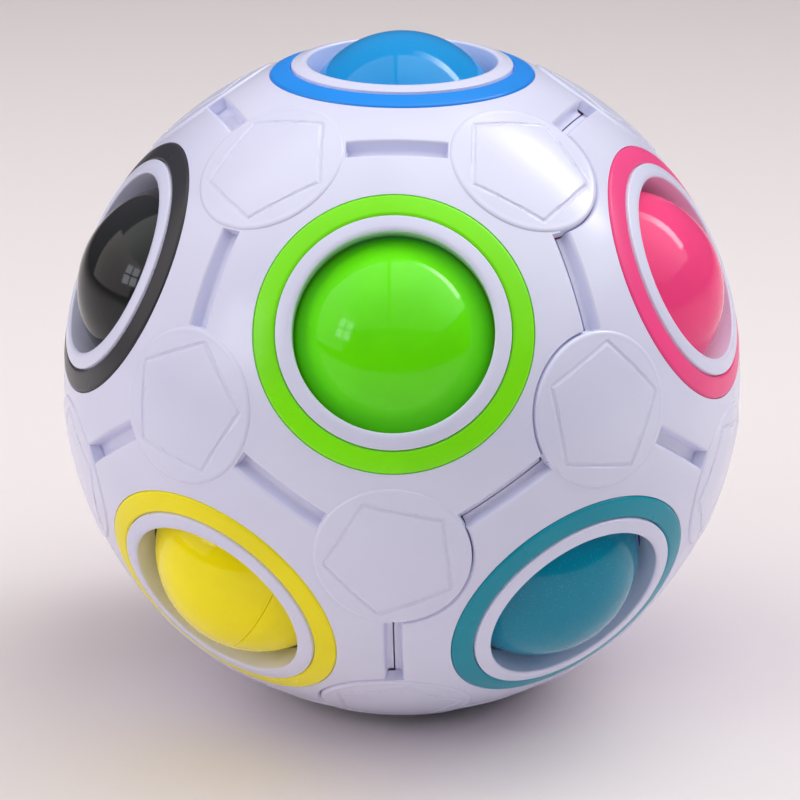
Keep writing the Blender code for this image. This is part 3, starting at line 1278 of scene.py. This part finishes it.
@dataclass(frozen=True)
class BallPlastic:
    """Coloured ABS moulded in a mirror-polished tool.

    The eye gets a deep gloss with faint smears from fingers. Pearl balls also hold fine mica
    flakes, drawn a little coarser than life so that they show.
    """

    label: str
    colour: str
    pearl: bool = False
    ior: float = 1.38
    # Painted light: the ball glows faintly in its own colour, though it is no lamp, which lightens
    # the shade at its edge in the hole.
    glow: float = 0.06
    depth: float = 0.9
    roughness: tuple[float, float] = (0.06, 0.10)
    smear: float = 3.0 * MM
    smear_detail: float = 6.0
    ripple_strength: float = 0.05
    ripple_depth: float = 0.04 * MM
    flake_spacing: float = 0.24 * MM
    flake_size: float = 0.055 * MM
    flake_share: float = 0.45
    # The flakes are real mica; drawing them lighter than the ball is a painted glint.
    flake_glint: tuple[float, float] = (1.3, 0.03)
    dust_spacing: float = 2.6 * MM
    dust_size: float = 0.05 * MM
    dust_share: float = 0.15
    dust_depth: float = 0.35

    def make(self) -> Material:
        """Makes the material.

        Returns:
            The material.
        """
        base = linear(self.colour)
        name = f"abs_{self.label}_ball_gloss"
        # The emission here is the painted glow, not a lamp.
        surface = Surface(name, IOR=self.ior, Emission_Color=base, Emission_Strength=self.glow)
        layers = [(surface.cloud(2 * self.smear), tint(base, self.depth))]
        if self.pearl:
            flakes = surface.specks(self.flake_spacing, self.flake_size, self.flake_share)
            # Real mica flakes, with a painted glint in their lighter colour.
            layers.append((flakes, tint(base, *self.flake_glint)))
        dots = surface.specks(self.dust_spacing, self.dust_size, self.dust_share)
        surface.paint(base, *layers, (dots, tint(base, self.dust_depth)))
        smears = surface.cloud(self.smear, *self.roughness, self.smear_detail)
        surface.feed("Roughness", smears)
        surface.ripple(self.smear, self.ripple_strength, self.ripple_depth)
        return surface.material


@dataclass(frozen=True)
class CoreRubber:
    """Black natural rubber from a plain mould: the eye gets it matt, pitted and a little dusty."""

    name: str = "rubber_black_matt"
    colour: str = "#2A2A2C"
    bloom: str = "#4A4A4C"
    ior: float = 1.52
    roughness: float = 0.72
    bloom_size: float = 6.0 * MM
    bloom_detail: float = 4.0
    grain: float = 0.6 * MM
    grain_strength: float = 0.4
    grain_depth: float = 0.1 * MM

    def make(self) -> Material:
        """Makes the material.

        Returns:
            The material.
        """
        surface = Surface(self.name, IOR=self.ior, Roughness=self.roughness)
        bloom = surface.cloud(self.bloom_size, detail=self.bloom_detail)
        surface.paint(linear(self.colour), (bloom, linear(self.bloom)))
        surface.ripple(self.grain, self.grain_strength, self.grain_depth)
        return surface.material


RING_COLOURS = {
    Hole.BLUE: "#1E94F6",
    Hole.GREEN: "#86F80C",
    Hole.PINK: "#FF5090",
    Hole.ORANGE: "#FF7A14",
    Hole.RED: "#E0202A",
    Hole.BLACK: "#36363A",
    Hole.TEAL: "#0092A8",
    Hole.VIOLET: "#7B42C8",
    Hole.NAVY: "#1E3FB0",
    Hole.BROWN: "#7A4A26",
    Hole.YELLOW: "#FDEE10",
    Hole.GREY: "#9A9DA3",
}
# The glossier balls of these colours look darker than their rings.
BALL_COLOURS = RING_COLOURS | {
    Hole.BLUE: "#1496DC",
    Hole.GREEN: "#68EE04",
    Hole.PINK: "#FF4A88",
    Hole.BLACK: "#222424",
    Hole.TEAL: "#0084A0",
    Hole.YELLOW: "#FFEE08",
}
PEARL = (Hole.TEAL,)


# ---- studio


@dataclass(frozen=True)
class Panel:
    """A flat glowing sheet, brighter towards its local +Y edge.

    Sizes are in metres and the tilt in degrees. The bars, like those of a window, are dark.
    """

    name: str
    centre: tuple[float, float, float]
    width: float
    length: float
    near_strength: float
    far_strength: float
    colour: str = "#FFFFFF"
    tilt: tuple[float, float, float] = (0.0, 0.0, 0.0)
    fade: tuple[float, float] = (-0.5, 0.5)
    falloff: float = 2.2
    bars: int = 0
    bar_half_width: float = 0.04

    def build(self) -> Object:
        """Makes the panel.

        Returns:
            The panel, glowing at far_strength at its local +Y edge and near_strength at the other.
        """
        deselect()
        turn = [math.radians(angle) for angle in self.tilt]
        bpy.ops.mesh.primitive_plane_add(size=1.0, location=self.centre, rotation=turn)
        panel = bpy.context.object
        panel.name = self.name
        panel.scale = (self.width, self.length, 1.0)
        material = bpy.data.materials.new(self.name)
        material.use_nodes = True
        tree = material.node_tree
        tree.nodes.clear()
        place = add_node(tree, "TexCoord")
        split = add_node(tree, "SeparateXYZ", links={"Vector": place.outputs["Object"]})
        limits = dict(zip(("From Min", "From Max"), self.fade))
        along = add_node(tree, "MapRange", limits, {"Value": split.outputs["Y"]})
        power = {"operation": "POWER", 1: self.falloff}
        curve = add_node(tree, "Math", power, {0: along.outputs["Result"]})
        limits = {"To Min": self.near_strength, "To Max": self.far_strength}
        ramp = add_node(tree, "MapRange", limits, {"Value": curve.outputs["Value"]})
        strength = ramp.outputs["Result"]
        for output in ("X", "Y")[: self.bars]:
            away = add_node(tree, "Math", {"operation": "ABSOLUTE"}, {0: split.outputs[output]})
            beyond = {"operation": "GREATER_THAN", 1: self.bar_half_width}
            pane = add_node(tree, "Math", beyond, {0: away.outputs["Value"]})
            both = {0: strength, 1: pane.outputs["Value"]}
            strength = add_node(tree, "Math", {"operation": "MULTIPLY"}, both).outputs["Value"]
        colour = {"Color": linear(self.colour)}
        glow = add_node(tree, "Emission", colour, {"Strength": strength})
        add_node(tree, "OutputMaterial", links={"Surface": glow.outputs["Emission"]})
        panel.data.materials.append(material)
        return panel


@dataclass
class Studio:
    """Floor, light and camera."""

    target: Vector
    floor_size: float = 6.0
    floor_colour: str = "#EFE7E6"
    # Painted light: the floor turns to this grey far from the puzzle, a painted falloff of the
    # lamps' light.
    floor_far: str = "#A39C98"
    # Painted shade: a dark band on the floor in front of the puzzle, standing for the dark room
    # that the balls reflect.
    floor_dark: str = "#5E5A58"
    floor_roughness: float = 0.75
    # The painted falloff is centred here and spans floor_reach; the painted shade starts at
    # floor_front.
    floor_centre: tuple[float, float, float] = (-0.1, -0.05, 0.0)
    floor_reach: tuple[float, float] = (0.08, 0.70)
    floor_front: tuple[float, float] = (-0.20, -0.25)
    camera_offset: tuple[float, float, float] = (9.345 * MM, -334.005 * MM, 118.405 * MM)
    lens: float = 153.34
    sensor: float = 36.0
    pitch: float = math.radians(-19.92)
    heading: float = math.radians(1.641)
    room: tuple[tuple[float, str], ...] = (
        (0.0, "#5A5658"),
        (0.5, "#4E4C54"),
        (0.62, "#6E6B78"),
        (1.0, "#B8B6C4"),
    )
    room_strength: float = 0.8
    panels: tuple[Panel, ...] = (
        Panel("panel_right", (0.70, -0.39, 0.75), 1.50, 1.36, 0.66, 2.05, fade=(-0.5, 0.28)),
        Panel("panel_middle", (-0.60, -0.39, 0.75), 1.03, 1.36, 0.66, 1.5, fade=(-0.5, 0.28)),
        Panel(
            "panel_strip", (0.56, 0.315, 0.745), 0.16, 0.95, 0.8, 11.0,
            tilt=(0.0, 0.0, -98.0), fade=(-0.5, -0.1), falloff=1.6,
        ),
        Panel(
            "panel_left", (-1.05, -0.10, 0.45), 1.3, 0.8, 1.0, 1.75, "#FFF2F0",
            tilt=(65.0, 0.0, -80.0),
        ),
        Panel(
            "panel_window", (-0.80, -0.50, 0.43), 0.30, 0.32, 5.0, 5.0, "#F4F6FF",
            tilt=(80.0, 0.0, -55.0), bars=2,
        ),
    )

    def floor(self) -> Object:
        """Pale paper floor with painted light: grey far from the puzzle, painted shade in front.

        Returns:
            The floor.
        """
        deselect()
        bpy.ops.mesh.primitive_plane_add(size=self.floor_size, location=(0.0, 0.0, 0.0))
        floor = bpy.context.object
        floor.name = "floor"
        paper = Surface("paper_matt", Roughness=self.floor_roughness)
        tree = paper.tree
        centre = {"operation": "SUBTRACT", 1: self.floor_centre}
        beside = add_node(tree, "VectorMath", centre, {0: paper.place})
        length = {"operation": "LENGTH"}
        away = add_node(tree, "VectorMath", length, {0: beside.outputs["Vector"]})
        split = add_node(tree, "SeparateXYZ", links={"Vector": paper.place})
        # Shares of the painted falloff, by distance from its centre, and of the painted shade in
        # front.
        far, ahead = (
            add_node(
                tree,
                "MapRange",
                {"interpolation_type": "SMOOTHSTEP", "From Min": start, "From Max": end},
                {"Value": distance},
            ).outputs["Result"]
            for (start, end), distance in (
                (self.floor_reach, away.outputs["Value"]),
                (self.floor_front, split.outputs["Y"]),
            )
        )
        # Painted light: the grey falloff and the dark front shade laid over the paper's own
        # colour.
        layers = ((far, linear(self.floor_far)), (ahead, linear(self.floor_dark)))
        paper.paint(linear(self.floor_colour), *layers)
        floor.data.materials.append(paper.material)
        return floor

    def surroundings(self) -> None:
        """A dim room: grey at the horizon and paler overhead."""
        world = bpy.data.worlds.new("room")
        bpy.context.scene.world = world
        world.use_nodes = True
        tree = world.node_tree
        place = add_node(tree, "TexCoord")
        split = add_node(tree, "SeparateXYZ", links={"Vector": place.outputs["Generated"]})
        limits = {"From Min": -1.0, "From Max": 1.0}
        height = add_node(tree, "MapRange", limits, {"Value": split.outputs["Z"]})
        ramp = add_node(tree, "ValToRGB", links={"Fac": height.outputs["Result"]})
        stops = ramp.color_ramp.elements
        while len(stops) < len(self.room):
            stops.new(0.5)
        for stop, (position, colour) in zip(stops, self.room):
            stop.position, stop.color = position, linear(colour)
        background = tree.nodes["Background"]
        tree.links.new(ramp.outputs["Color"], background.inputs["Color"])
        background.inputs["Strength"].default_value = self.room_strength

    def camera(self) -> None:
        """The camera, a little above the puzzle and looking down at it."""
        place = self.target + Vector(self.camera_offset)
        turn = (QUARTER + self.pitch, 0.0, self.heading)
        bpy.ops.object.camera_add(location=place, rotation=turn)
        camera = bpy.context.object
        camera.data.lens = self.lens
        camera.data.sensor_width = self.sensor
        camera.data.dof.use_dof = False
        bpy.context.scene.camera = camera

    def build(self) -> None:
        """Sets up the studio."""
        self.floor()
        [panel.build() for panel in self.panels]
        self.surroundings()
        self.camera()
        bpy.context.scene.view_settings.view_transform = "Standard"
        log.info("studio: %d panels", len(self.panels))


def main() -> None:
    """Builds the puzzle and its studio, piece by piece."""
    logging.basicConfig(level=logging.INFO, format="%(message)s")
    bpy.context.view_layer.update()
    sizes = ShellSizes()
    shell, rings, balls, core = Shell(sizes), Rings(sizes), Balls(sizes), Core(sizes)
    for part in (shell, rings, balls, core):
        part.build()
    shell.dress(ShellPlastic().make())
    rings.dress({hole: RingPlastic(hole.label, RING_COLOURS[hole]).make() for hole in Hole})
    balls.dress(
        {
            hole: BallPlastic(hole.label, BALL_COLOURS[hole], hole in PEARL).make()
            for hole in BALL_HOLES
        }
    )
    core.dress(CoreRubber().make())
    Studio(Vector((0.0, 0.0, sizes.collar_top))).build()


if __name__ == "__main__":
    main()
